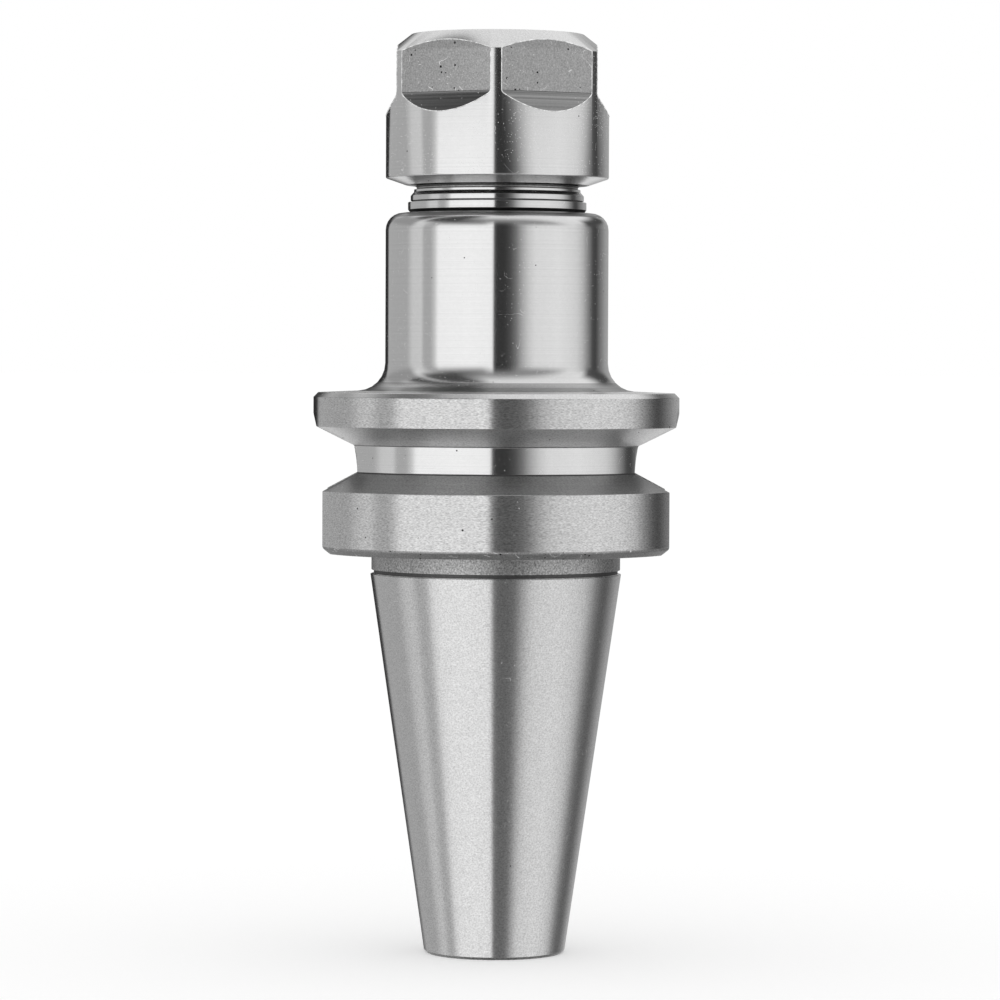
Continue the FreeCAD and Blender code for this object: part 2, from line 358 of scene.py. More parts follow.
def grain_group():
    """Cloudy tone about zero. Streak above one squeezes it along the axis, into short level streaks."""
    group, given, result = new_group("grain", {"Size": 0.4, "Streak": 1.0}, "Tone")
    squeeze = add(group, "ShaderNodeCombineXYZ", {"X": 1.0, "Y": 1.0, "Z": given["Streak"]}).outputs[0]
    place = add(group, "ShaderNodeVectorMath", {0: given["Place"], 1: squeeze}, operation="MULTIPLY")
    scale = maths(group, "DIVIDE", 1 / MM, given["Size"])
    inputs = {"Vector": place.outputs[0], "Scale": scale, "Detail": 2.0, "Roughness": 0.6}
    cloud = add(group, "ShaderNodeTexNoise", inputs).outputs[0]
    group.links.new(minus(group, cloud, 0.5), result.inputs["Tone"])
    return group


LINES = turning_lines_group()
GRAIN = grain_group()
print("groups:", LINES.name, "and", GRAIN.name)

# %% [markdown]
# Specks are the few pits and bright dots that any handled steel has: a cell pattern picks some of its cells
# and puts a dot in each. A slow noise makes them gather in some places and stay away from others, as real
# ones do. Hairlines are fine scratches: the places where a smooth noise passes one value, kept in patches
# only.

# %% Node groups for specks and hairlines
def specks_group():
    """Round dots of about one Size, in a Share of the cells of a cell pattern."""
    group, given, result = new_group("specks", {"Size": 0.3, "Share": 0.02, "Seed": 0.0}, "Mask")
    shift = add(group, "ShaderNodeCombineXYZ", {"X": given["Seed"], "Y": given["Seed"]}).outputs[0]
    place = add(group, "ShaderNodeVectorMath", {0: given["Place"], 1: shift}).outputs[0]
    scale = maths(group, "DIVIDE", 0.5 / MM, given["Size"])
    cells = add(group, "ShaderNodeTexVoronoi", {"Vector": place, "Scale": scale})
    chance = add(group, "ShaderNodeSeparateColor", {0: cells.outputs["Color"]}).outputs
    drift = add(group, "ShaderNodeTexNoise", {"Vector": place, "Scale": 260.0, "Detail": 1.0}).outputs[0]
    share = times(group, given["Share"], between(group, drift, 0.42, 0.66, 0.15, 3.0))
    chosen = maths(group, "LESS_THAN", chance["Red"], share)
    reach = between(group, chance["Green"], 0.0, 1.0, 0.12, 0.30)
    dot = maths(group, "LESS_THAN", cells.outputs["Distance"], reach)
    group.links.new(times(group, chosen, dot), result.inputs["Mask"])
    return group


def hairlines_group():
    """Thin wandering scratches, only in patches. Width is a share of the noise's range."""
    group, given, result = new_group("hairlines", {"Size": 3.0, "Width": 0.004}, "Mask")
    scale = maths(group, "DIVIDE", 1 / MM, given["Size"])
    drift = add(group, "ShaderNodeTexNoise", {"Vector": given["Place"], "Scale": scale, "Detail": 1.0})
    line = maths(group, "ABSOLUTE", minus(group, drift.outputs[0], 0.52))
    thin = maths(group, "LESS_THAN", line, given["Width"])
    patch = add(group, "ShaderNodeTexNoise", {"Vector": given["Place"], "Scale": 900.0, "Detail": 1.0})
    kept = maths(group, "GREATER_THAN", patch.outputs[0], 0.58)
    group.links.new(times(group, thin, kept), result.inputs["Mask"])
    return group


SPECKS = specks_group()
HAIRLINES = hairlines_group()
print("groups:", SPECKS.name, "and", HAIRLINES.name)

# %% [markdown]
# Every finish is the same steel, worked in another way, so one function mixes it from the groups: a base
# tone, a roughness, how far reflections smear across the turning lines, and how strong lines, grain, pits
# and bright dots are. The smear is the shader's anisotropy, with a tangent that runs round the axis. It is
# what keeps the upright bands sharp from side to side while they run evenly from top to bottom. Bright dots
# and hairlines are dust and burr, not bare metal: they scatter the white sky, so they show up white where
# the steel is dark.

# %% One steel, many finishes
PIT_DARKNESS = 0.85
PIT_DEPTH = 4.0
DUST_TONE = 0.85


def place_group(tree, group, place, **values):
    """A group node with its inputs filled in."""
    made = tree.nodes.new("ShaderNodeGroup")
    made.node_tree = group
    tree.links.new(place, made.inputs["Place"])
    for name, value in values.items():
        made.inputs[name].default_value = value
    return made.outputs[0]


def steel(name, tone, rough, smear=0.0, lines=0.3, radial=1.0, line_depth=0.0, line_tone=0.0, grain=0.5,
          streak=1.0, grain_tone=0.1, pits=0.0, pit_size=0.25, dots=0.0, dot_size=0.15, hairs=0.0, metal=1.0):
    """A steel finish. Sizes in millimetres, depths in micrometres, pits and dots as shares of cells."""
    material, tree, output = new_material(name)
    place = add(tree, "ShaderNodeTexCoord").outputs["Object"]
    rings = place_group(tree, LINES, place, Spacing=lines, Radial=radial)
    cloud = place_group(tree, GRAIN, place, Size=grain, Streak=streak)
    pit = place_group(tree, SPECKS, place, Size=pit_size, Share=pits)
    dot = place_group(tree, SPECKS, place, Size=dot_size, Share=dots, Seed=0.37)
    hair = place_group(tree, HAIRLINES, place, Width=hairs)
    bright = maths(tree, "MAXIMUM", dot, hair)
    shade = plus(tree, tone, times(tree, cloud, grain_tone * 2))
    shade = plus(tree, shade, times(tree, rings, line_tone * 2))
    shade = times(tree, shade, minus(tree, 1.0, times(tree, pit, PIT_DARKNESS)))
    shade = maths(tree, "MAXIMUM", shade, times(tree, bright, DUST_TONE))
    colour = add(tree, "ShaderNodeCombineColor", {"Red": shade, "Green": shade, "Blue": shade}).outputs[0]
    soft = plus(tree, rough, times(tree, plus(tree, pit, bright), 0.5))
    height = minus(tree, times(tree, rings, line_depth), times(tree, pit, PIT_DEPTH))
    bump = add(tree, "ShaderNodeBump", {"Strength": 1.0, "Distance": MM * MM, "Height": height})
    shader = add(tree, "ShaderNodeBsdfPrincipled", {"Base Color": colour, "Roughness": soft})
    bare = minus(tree, metal, times(tree, bright, metal))
    tree.links.new(bare, shader.inputs["Metallic"])
    tree.links.new(bump.outputs[0], shader.inputs["Normal"])
    if smear:
        shader.inputs["Anisotropic"].default_value = smear
        shader.inputs["Anisotropic Rotation"].default_value = 0.25
        tangent = add(tree, "ShaderNodeTangent", direction_type="RADIAL", axis="Z")
        tree.links.new(tangent.outputs[0], shader.inputs["Tangent"])
    tree.links.new(shader.outputs[0], output.inputs["Surface"])
    return material


print("helpers: place_group, steel")

# %% [markdown]
# These are the finishes of this holder, from the mirror of the turned body to the near black of the sawn
# slits. Not all of them are ways of working the steel. Some are painted shade: darker steel where a face
# looks dark only by what it reflects, and a near black in narrow grooves, creases and slits, where shade
# falls. The bright edge finish is partly real burr and partly a painted highlight. The ground taper and the
# two lands of the flange have a clear grain, so their roughness is just high enough for it to survive the
# picture's noise filter, and their smear keeps the edge of the dark strip crisp all the same. The milled
# flats have no turning direction at all.

# %% The finishes
FINISHES = {
    "polished": steel("polished_steel", 0.79, 0.15, smear=0.9, lines=0.22, line_depth=0.6, line_tone=0.05,
                      grain=0.5, grain_tone=0.03, pits=0.003, pit_size=0.2, dots=0.025, dot_size=0.08,
                      hairs=0.0008),
    "handled": steel("handled_nut", 0.79, 0.15, smear=0.9, lines=0.22, line_depth=0.6, line_tone=0.05,
                     grain=0.5, grain_tone=0.03, pits=0.003, pit_size=0.2, dots=0.16, dot_size=0.08,
                     hairs=0.0012),
    "ground": steel("ground_taper", 0.745, 0.276, smear=1.0, lines=0.16, line_depth=0.4, line_tone=0.04,
                    grain=0.20, streak=1.2, grain_tone=0.42, pits=0.001, dots=0.008, dot_size=0.10,
                    hairs=0.0006),
    "streaked": steel("turned_land", 0.73, 0.276, smear=1.0, lines=0.3, line_depth=0.4, line_tone=0.05,
                      grain=0.34, streak=3.2, grain_tone=0.56, pits=0.004, dots=0.015, dot_size=0.10),
    "matt": steel("matt_turned", 0.46, 0.42, lines=0.2, line_depth=0.8, grain=0.20, streak=1.0,
                  grain_tone=0.60, pits=0.012, dots=0.004),
    "flank": steel("turned_flank", 0.88, 0.34, lines=0.25, line_depth=0.6, line_tone=0.06, grain=0.24,
                   streak=2.0, grain_tone=0.50, pits=0.004, dots=0.002),
    # Painted shade: darker steel for faces that look dark only by what they reflect, the lower flank of the
    # groove and the neck under the nut.
    "shaded": steel("turned_painted_shade", 0.34, 0.34, lines=0.25, line_depth=0.6, line_tone=0.04, grain=0.24,
                    streak=2.0, grain_tone=0.24, pits=0.004, dots=0.004),
    # Painted shade on the lower part of the body's foot radius and round the body's top, with a lighter
    # painted shade higher up the radius.
    "fillet": steel("polished_painted_shade", 0.34, 0.28, smear=0.6, lines=0.25, line_depth=0.8, line_tone=0.04,
                    grain=0.3, grain_tone=0.06, pits=0.004, dots=0.010),
    "hollow": steel("polished_painted_half_shade", 0.48, 0.26, smear=0.6, lines=0.25, line_depth=0.8, line_tone=0.04,
                    grain=0.3, grain_tone=0.06, pits=0.004, dots=0.010),
    "foot": steel("nut_foot", 0.80, 0.28, smear=0.6, lines=0.2, line_depth=0.8, line_tone=0.08, grain=0.24,
                  streak=2.0, grain_tone=0.25, pits=0.006, dots=0.02),
    "milled": steel("milled_flat", 0.46, 0.44, grain=0.18, grain_tone=0.32, pits=0.10,
                    pit_size=0.27, dots=0.03, dot_size=0.10, hairs=0.003),
    "runout": steel("milled_runout", 0.34, 0.36, lines=0.5, radial=0.0, line_depth=1.5, line_tone=0.28,
                    grain=0.2, streak=4.0, grain_tone=0.10, dots=0.02, dot_size=0.10),
    "satin": steel("satin_chamfer", 0.78, 0.21, smear=0.5, lines=0.25, line_depth=0.6, grain=0.24,
                   grain_tone=0.16, pits=0.002, dots=0.004, dot_size=0.10),
    # Partly real, partly painted highlight: broken edges and burr are rough and only partly metallic, so they
    # stay bright in any light.
    "edge": steel("edge_painted_highlight", 0.88, 0.55, grain=0.60, grain_tone=0.90, metal=0.25),
    "bored": steel("bored_inside", 0.44, 0.36, lines=0.3, line_depth=2.0, grain=0.5, grain_tone=0.10),
    # Painted shade: near black in narrow grooves, creases, the notch and the walls of the collet's slits,
    # where shade falls.
    "slit": steel("gap_painted_shade", 0.12, 0.50, grain=0.3, grain_tone=0.04),
}
print("finishes:", ", ".join(FINISHES))

# %% [markdown]
# Nearly everything here came off a lathe, so one function turns an outline into a solid of revolution.
# Sharp corners never look real: light catches the tiny rounding of a deburred edge. Each corner of an
# outline may name its rounding, and the function lays a small arc there, with a holding point on both sides
# of it, so that the smooth shading of the arc can't bend the reflections on the long faces beside it.

# %% Turning an outline
AROUND = 288
ARC_STEP = math.radians(16)
HOLD = 0.06


def rounded(corners):
    """The closed outline (radius, height) whose corners (radius, height, rounding) are small arcs."""
    count = len(corners)
    stretches = []
    for i, (radius, height, rounding) in enumerate(corners):
        here = Vector((radius, height))
        back = (Vector(corners[i - 1][:2]) - here).normalized()
        ahead = (Vector(corners[(i + 1) % count][:2]) - here).normalized()
        if not rounding:
            stretches.append([here])
            continue
        half = back.angle(ahead) / 2
        reach = rounding / math.tan(half)
        centre = here + (back + ahead).normalized() * rounding / math.sin(half)
        first, last = here + back * reach - centre, here + ahead * reach - centre
        turn = first.angle_signed(last)
        steps = max(2, math.ceil(abs(turn) / ARC_STEP))
        arc = []
        for k in range(steps + 1):
            angle = -turn * k / steps
            cos, sin = math.cos(angle), math.sin(angle)
            arc.append(centre + Vector((first.x * cos - first.y * sin, first.x * sin + first.y * cos)))
        stretches.append(arc)
    points = []
    for i, arc in enumerate(stretches):
        points += arc
        start, end = arc[-1], stretches[(i + 1) % count][0]
        length = (end - start).length
        hold = min(HOLD, length / 4)
        if length > 0.02:
            along = (end - start).normalized() * hold
            points += [start + along, end - along]
    return points


def turned(name, corners, around=AROUND):
    """A closed mesh of revolution about the spindle axis, in metres, with outward normals."""
    outline = rounded(corners)
    turn = [2 * math.pi * (k + 0.5) / around for k in range(around)]
    places = [(p.x * MM * math.cos(t), p.x * MM * math.sin(t), p.y * MM) for p in outline for t in turn]
    faces = []
    count = len(outline)
    for i in range(count):
        low, high = i * around, (i + 1) % count * around
        for k in range(around):
            n = (k + 1) % around
            faces.append((low + k, low + n, high + n, high + k))
    mesh = bpy.data.meshes.new(name)
    mesh.from_pydata(places, [], faces)
    outward(mesh)
    return mesh


def outward(mesh):
    """Merges doubles and turns all faces outwards."""
    shape = bmesh.new()
    shape.from_mesh(mesh)
    bmesh.ops.remove_doubles(shape, verts=shape.verts, dist=1e-7)
    bmesh.ops.recalc_face_normals(shape, faces=shape.faces)
    shape.to_mesh(mesh)
    shape.free()


print("a ring of", AROUND, "faces on a 46 mm flange is off a true circle by",
      round(23 * (1 - math.cos(math.pi / AROUND)), 4), "mm")

# %% [markdown]
# A mesh becomes a finished piece in three steps. Smooth shading hides the single faces but stays split at
# real corners. Painting gives each face its finish, by where it lies on the part: one function for each
# piece looks at the radius, the height and how far the face looks outwards. Last, the piece is tied to the
# moving body that it rides on, and the imported solids that it stands for are hidden.

# %% Shading, painting and handing over a piece
def smooth(mesh, sharp_angle=28):
    """Smooth shading, split only where faces meet at more than the angle in degrees."""
    mesh.polygons.foreach_set("use_smooth", [True] * len(mesh.polygons))
    mesh.set_sharp_from_angle(angle=math.radians(sharp_angle))


def new_piece(name, mesh, body, slot, *nodes):
    """A finished piece at the origin that rides on a body and stands for CAD nodes."""
    piece = new_object(name, mesh)
    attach(piece, body)
    if nodes:
        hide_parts(*nodes)
    print(f"{name}: {sum(len(p.vertices) - 2 for p in mesh.polygons)} triangles")


def paint(mesh, finish_at):
    """Gives each face the finish that finish_at(radius, height, outwardness, face) names, in millimetres."""
    names = []
    marks = mesh.attributes.get("broken_edge")
    for face in mesh.polygons:
        # Broken edges get the bright edge finish: partly real burr, partly a painted highlight.
        if marks and marks.data[face.index].value:
            names.append("edge")
            continue
        centre, normal = face.center / MM, face.normal
        radius = math.hypot(centre.x, centre.y)
        out = (centre.x * normal.x + centre.y * normal.y) / max(radius, 1e-6)
        names.append(finish_at(radius, centre.z, out, face))
    used = sorted(set(names))
    mesh.materials.clear()
    for name in used:
        mesh.materials.append(FINISHES[name])
    mesh.polygons.foreach_set("material_index", [used.index(name) for name in names])
    return used


print("helpers: smooth, new_piece, paint")

# %% [markdown]
# Slots, wrench flats and collet slits are all the same step on a bench: one cutter, used again after the
# work has been turned by a part of a full circle. That is a rule, so Geometry Nodes do it. The tree sets a
# cutter at equal angles about the axis, cuts all of them away from the blank, and ends with real geometry
# that has its material.

# %% A Geometry Nodes tree that repeats a cutter round the axis
def geometry_tree(name, sockets):
    """A tree with the inputs Blank, the named ones and Finish. Returns the tree and its inputs."""
    tree = bpy.data.node_groups.new(name, "GeometryNodeTree")
    for socket, kind in [("Blank", "Geometry"), *sockets, ("Finish", "Material")]:
        tree.interface.new_socket(socket, in_out="INPUT", socket_type="NodeSocket" + kind)
    tree.interface.new_socket("Result", in_out="OUTPUT", socket_type="NodeSocketGeometry")
    return tree, add(tree, "NodeGroupInput").outputs


def give_result(tree, geometry, finish):
    """Ends a tree with real geometry that has its material."""
    whole = add(tree, "GeometryNodeRealizeInstances", {0: geometry}).outputs[0]
    coated = add(tree, "GeometryNodeSetMaterial", {"Geometry": whole, "Material": finish}).outputs[0]
    tree.links.new(coated, add(tree, "NodeGroupOutput").inputs["Result"])


def repeat_cut_tree():
    """Cutter, Count and First Angle are the named inputs, beside the blank and its Finish."""
    sockets = [("Cutter", "Object"), ("Count", "Int"), ("First Angle", "Float")]
    tree, given = geometry_tree("cut round the axis", sockets)
    tool = add(tree, "GeometryNodeObjectInfo", {"Object": given["Cutter"]}).outputs["Geometry"]
    spots = add(tree, "GeometryNodePoints", {"Count": given["Count"]}).outputs[0]
    number = add(tree, "GeometryNodeInputIndex").outputs[0]
    part = maths(tree, "DIVIDE", times(tree, number, 2 * math.pi), given["Count"])
    angle = plus(tree, part, given["First Angle"])
    turn = add(tree, "ShaderNodeCombineXYZ", {"Z": angle}).outputs[0]
    turn = add(tree, "FunctionNodeEulerToRotation", {0: turn}).outputs[0]
    tools = add(tree, "GeometryNodeInstanceOnPoints", {"Points": spots, "Instance": tool, "Rotation": turn})
    tools = add(tree, "GeometryNodeRealizeInstances", {0: tools.outputs[0]}).outputs[0]
    cut = add(tree, "GeometryNodeMeshBoolean", {"Mesh 1": given["Blank"], "Mesh 2": tools},
              operation="DIFFERENCE", solver="EXACT")
    cut.inputs["Self Intersection"].default_value = True
    give_result(tree, cut.outputs["Mesh"], given["Finish"])
    return tree


CUT_ROUND = repeat_cut_tree()
print("tree inputs:", [i.name for i in CUT_ROUND.interface.items_tree if i.in_out == "INPUT"])

# %% [markdown]
# A tree is run like a machine: the mesh goes in on a bench object, the named inputs are set by their
# sockets' identifiers, and the evaluated result is taken off as a plain mesh. The cutters are bars with one
# section, and a last helper breaks the sharp edges that a cutter leaves, as a deburring brush does. It marks
# the new faces, which later get the bright edge finish, partly a painted highlight.

# %% Running a tree, cutters and edge breaks
EDGE_BREAK = 0.10


def run_tree(name, mesh, tree, **values):
    """Runs a Geometry Nodes tree on a mesh and returns the plain mesh that comes out."""
    work = new_object(name, mesh)
    modifier = work.modifiers.new(tree.name, "NODES")
    modifier.node_group = tree
    for item in tree.interface.items_tree:
        if item.in_out == "INPUT" and item.name in values:
            modifier[item.identifier] = values[item.name]
    bpy.context.view_layer.update()
    graph = bpy.context.evaluated_depsgraph_get()
    result = bpy.data.meshes.new_from_object(work.evaluated_get(graph), depsgraph=graph)
    result.name = name
    work.modifiers.remove(modifier)
    bpy.data.objects.remove(work)
    return result


def cut_round(name, mesh, cutter_mesh, count, first_angle=0.0, finish="polished"):
    """The mesh with a cutter taken out of it at equal angles about the axis."""
    cutter = new_object(name + "_cutter", cutter_mesh)
    values = {"Cutter": cutter, "Count": count, "First Angle": math.radians(first_angle),
              "Finish": FINISHES[finish]}
    result = run_tree(name, mesh, CUT_ROUND, **values)
    bpy.data.objects.remove(cutter)
    print(f"{name}: {count} cuts, {len(result.polygons)} faces")
    return result


def prism(name, section, low, high, side):
    """A bar of one flat section. side is the axis that the bar runs along, x or y, and the section is in the
    other level axis and z. Millimetres."""
    places = []
    for end in (low, high):
        for across, height in section:
            point = (end, across, height) if side == "x" else (across, end, height)
            places.append(Vector(point) * MM)
    count = len(section)
    faces = [tuple(range(count)), tuple(range(count, 2 * count))]
    faces += [(i, (i + 1) % count, count + (i + 1) % count, count + i) for i in range(count)]
    mesh = bpy.data.meshes.new(name)
    mesh.from_pydata(places, [], faces)
    outward(mesh)
    return mesh


def break_edges(mesh, width, angle=25):
    """Bevels every edge sharper than the angle, as a deburring pass does, and marks the new faces for the
    bright edge finish, partly a painted highlight. Width in millimetres.
    """
    shape = bmesh.new()
    shape.from_mesh(mesh)
    bmesh.ops.remove_doubles(shape, verts=shape.verts, dist=2e-7)
    sharp = [e for e in shape.edges if e.is_manifold and e.calc_face_angle(0) > math.radians(angle)]
    mark = shape.faces.layers.int.get("broken_edge") or shape.faces.layers.int.new("broken_edge")
    made = bmesh.ops.bevel(shape, geom=sharp, offset=width * MM, offset_type="OFFSET", segments=2,
                           profile=0.5, affect="EDGES", clamp_overlap=True, loop_slide=True)
    for face in made["faces"]:
        face[mark] = 1
    shape.to_mesh(mesh)
    shape.free()


print("helpers: run_tree, cut_round, prism, break_edges")

# %% [markdown]
# The holder is one bar of steel from the taper's small end to the threaded nose. Its outline goes up the
# outside and comes back down through the collet socket, the bores and the hole for the pull stud. The radii
# are written as real sizes in millimetres, measured from the gauge line of the taper, as on a workshop
# drawing.

# %% The holder's outline
GAUGE_R = 15.875
TAPER_SLOPE = 7 / 48
SMALL_END_Z = holder_box[0].z / MM
NOSE_Z = holder_box[1].z / MM
FLANGE_R = holder_box[1].y / MM
NECK_R = 15.65
NECK_GROOVE_R = 15.35
NECK_GROOVE_FOOT_Z = -0.68
NECK_GROOVE_TOP_Z = -0.14
FLANGE_FOOT_Z = 2.0
FLANGE_TOP_Z = 22.1
FLANGE_CROWN = 0.35
FLANGE_FOOT_CHAMFER = (0.95, 0.8)
FLANGE_TOP_CHAMFER = 0.6
GROOVE_Z = 13.85
GROOVE_HALF = 1.7
GROOVE_FLOOR_R = 19.0
BODY_R = 14.0
BODY_TOP_Z = 44.6
BODY_FOOT_ROUNDING = 3.5
BODY_TOP_ROUNDING = 2.1
SMALL_CHAMFER = 0.35
UNDERCUT_RISE = 0.42
STEP_1_R = 11.2
STEP_1_HEIGHT = 1.35
NOTCH_R = 10.6
NOTCH_HEIGHT = 0.18
STEP_2_R = 10.875
STEP_2_HEIGHT = 0.62
STEP_3_R = 10.45
STEP_3_HEIGHT = 0.78
NOSE_CHAMFER = 0.4
RELIEF_R = 10.12
THREAD_CORE_R = 10.06
COLLET_GAUGE_R = 8.0
COLLET_SLOPE = math.tan(math.radians(8))
SEAT_GAP = 0.03
SOCKET_FLOOR_Z = 37.45
SHANK_BORE_R = 4.5
SHANK_BORE_DEPTH = 26
COOLANT_BORE_R = 4.0
STUD_HOLE_DEPTH = 34
STUD_THREAD_R = 5.1
STUD_PILOT_R = 6.25
STUD_PILOT_DEPTH = 7
STUD_CHAMFER = 0.8


def taper_radius(height):
    """Radius of the spindle taper."""
    return GAUGE_R + height * TAPER_SLOPE


def socket_radius(height):
    """Radius of the collet socket, which opens towards the nose."""
    return COLLET_GAUGE_R + SEAT_GAP + (height - NOSE_Z) * COLLET_SLOPE


groove_mouth = GROOVE_HALF + (FLANGE_R - GROOVE_FLOOR_R) * math.tan(math.radians(30))
step_1_top = BODY_TOP_Z + STEP_1_HEIGHT
notch_top = step_1_top + NOTCH_HEIGHT
step_2_top = notch_top + STEP_2_HEIGHT
step_3_top = step_2_top + STEP_3_HEIGHT
relief_z = step_3_top + 0.08
thread_foot = relief_z + 0.2
holder_outside = [
    (taper_radius(SMALL_END_Z + SMALL_CHAMFER) - SMALL_CHAMFER, SMALL_END_Z, 0.06),
    (taper_radius(SMALL_END_Z + SMALL_CHAMFER), SMALL_END_Z + SMALL_CHAMFER, 0.08),
    (taper_radius(NECK_GROOVE_FOOT_Z), NECK_GROOVE_FOOT_Z, 0.06),
    (NECK_GROOVE_R, NECK_GROOVE_FOOT_Z, 0),
    (NECK_GROOVE_R, NECK_GROOVE_TOP_Z, 0),
    (NECK_R, NECK_GROOVE_TOP_Z, 0.03),
    (NECK_R, FLANGE_FOOT_Z, 0.15),
    (FLANGE_R - FLANGE_FOOT_CHAMFER[0], FLANGE_FOOT_Z, 0.30),
    (FLANGE_R, FLANGE_FOOT_Z + FLANGE_FOOT_CHAMFER[1], 0.60),
    (FLANGE_R, GROOVE_Z - groove_mouth, 0.10),
    (GROOVE_FLOOR_R, GROOVE_Z - GROOVE_HALF, 0.30),
    (GROOVE_FLOOR_R, GROOVE_Z + GROOVE_HALF, 0.20),
    (FLANGE_R, GROOVE_Z + groove_mouth, 0.10),
    (FLANGE_R, FLANGE_TOP_Z - FLANGE_TOP_CHAMFER, 0.12),
    (FLANGE_R - FLANGE_TOP_CHAMFER, FLANGE_TOP_Z, 0.12),
    (BODY_R, FLANGE_TOP_Z + FLANGE_CROWN, BODY_FOOT_ROUNDING),
    (BODY_R, BODY_TOP_Z, BODY_TOP_ROUNDING),
    (STEP_1_R - 0.35, BODY_TOP_Z, 0.04),
    (STEP_1_R, BODY_TOP_Z + UNDERCUT_RISE, 0.12),
    (STEP_1_R, step_1_top, 0.05),
    (NOTCH_R, step_1_top, 0),
    (NOTCH_R, notch_top, 0),
    (STEP_2_R, notch_top, 0.05),
    (STEP_2_R, step_2_top, 0.05),
    (STEP_3_R, step_3_top - 0.30, 0.12),
    (STEP_3_R, step_3_top, 0.04),
    (RELIEF_R, relief_z, 0.05),
    (RELIEF_R, thread_foot, 0.04),
    (THREAD_CORE_R + 0.25, thread_foot + 0.13, 0.04),
    (THREAD_CORE_R, thread_foot + 0.4, 0),
    (THREAD_CORE_R, NOSE_Z - NOSE_CHAMFER, 0.05),
    (THREAD_CORE_R - NOSE_CHAMFER, NOSE_Z, 0.08),
]
holder_inside = [
    (socket_radius(NOSE_Z) + NOSE_CHAMFER, NOSE_Z, 0.05),
    (socket_radius(NOSE_Z - NOSE_CHAMFER), NOSE_Z - NOSE_CHAMFER, 0.05),
    (socket_radius(SOCKET_FLOOR_Z), SOCKET_FLOOR_Z, 0),
    (SHANK_BORE_R, SOCKET_FLOOR_Z, 0.05),
    (SHANK_BORE_R, SOCKET_FLOOR_Z - SHANK_BORE_DEPTH, 0),
    (COOLANT_BORE_R, SOCKET_FLOOR_Z - SHANK_BORE_DEPTH, 0),
    (COOLANT_BORE_R, SMALL_END_Z + STUD_HOLE_DEPTH + 0.66, 0),
    (STUD_THREAD_R, SMALL_END_Z + STUD_HOLE_DEPTH, 0),
    (STUD_THREAD_R, SMALL_END_Z + STUD_PILOT_DEPTH, 0),
    (STUD_PILOT_R, SMALL_END_Z + STUD_PILOT_DEPTH, 0),
    (STUD_PILOT_R, SMALL_END_Z + STUD_CHAMFER, 0.05),
    (STUD_PILOT_R + STUD_CHAMFER, SMALL_END_Z, 0.05),
]
holder_mesh = turned("holder", holder_outside + holder_inside)
print("outline corners:", len(holder_outside) + len(holder_inside), "faces:", len(holder_mesh.polygons))

# %% [markdown]
# Two keys in the spindle nose drive the holder through slots in the flange. Each slot is milled from the
# side with a round cutter, so it ends in a half circle. The slot cutter is one bar of that section, and the
# tree sets it on both sides of the flange. A light edge break follows, as it does on the real part.

# %% Drive slots
SLOT_HALF = 8.05
SLOT_FLOOR_X = 16.3
SLOT_TOP_Z = 19.65
arch_z = SLOT_TOP_Z - SLOT_HALF
arch = [math.radians(180 * k / 36) for k in range(37)]
slot_section = [(SLOT_HALF * math.cos(a), arch_z + SLOT_HALF * math.sin(a)) for a in arch]
slot_section += [(-SLOT_HALF, FLANGE_FOOT_Z - 1), (SLOT_HALF, FLANGE_FOOT_Z - 1)]
slot_bar = prism("slot_bar", slot_section, SLOT_FLOOR_X, FLANGE_R + 1, "x")
holder_mesh = cut_round("holder", holder_mesh, slot_bar, 2)
break_edges(holder_mesh, EDGE_BREAK, 38)

# %% [markdown]
# Each face of the holder shows which tool made it last. The taper is ground, the body is turned to a
# polish, the two lands keep short level streaks and the upper flank of the groove is duller. Painted shade
# is added: darker steel on the lower flank of the groove, the lower part of the body's foot radius, the ring
# round the body's top and the neck under the nut, and near black in the narrow grooves, the notch and the
# corners of the groove's floor. The tests below go from the bores outwards and from the small end up to the
# nose.

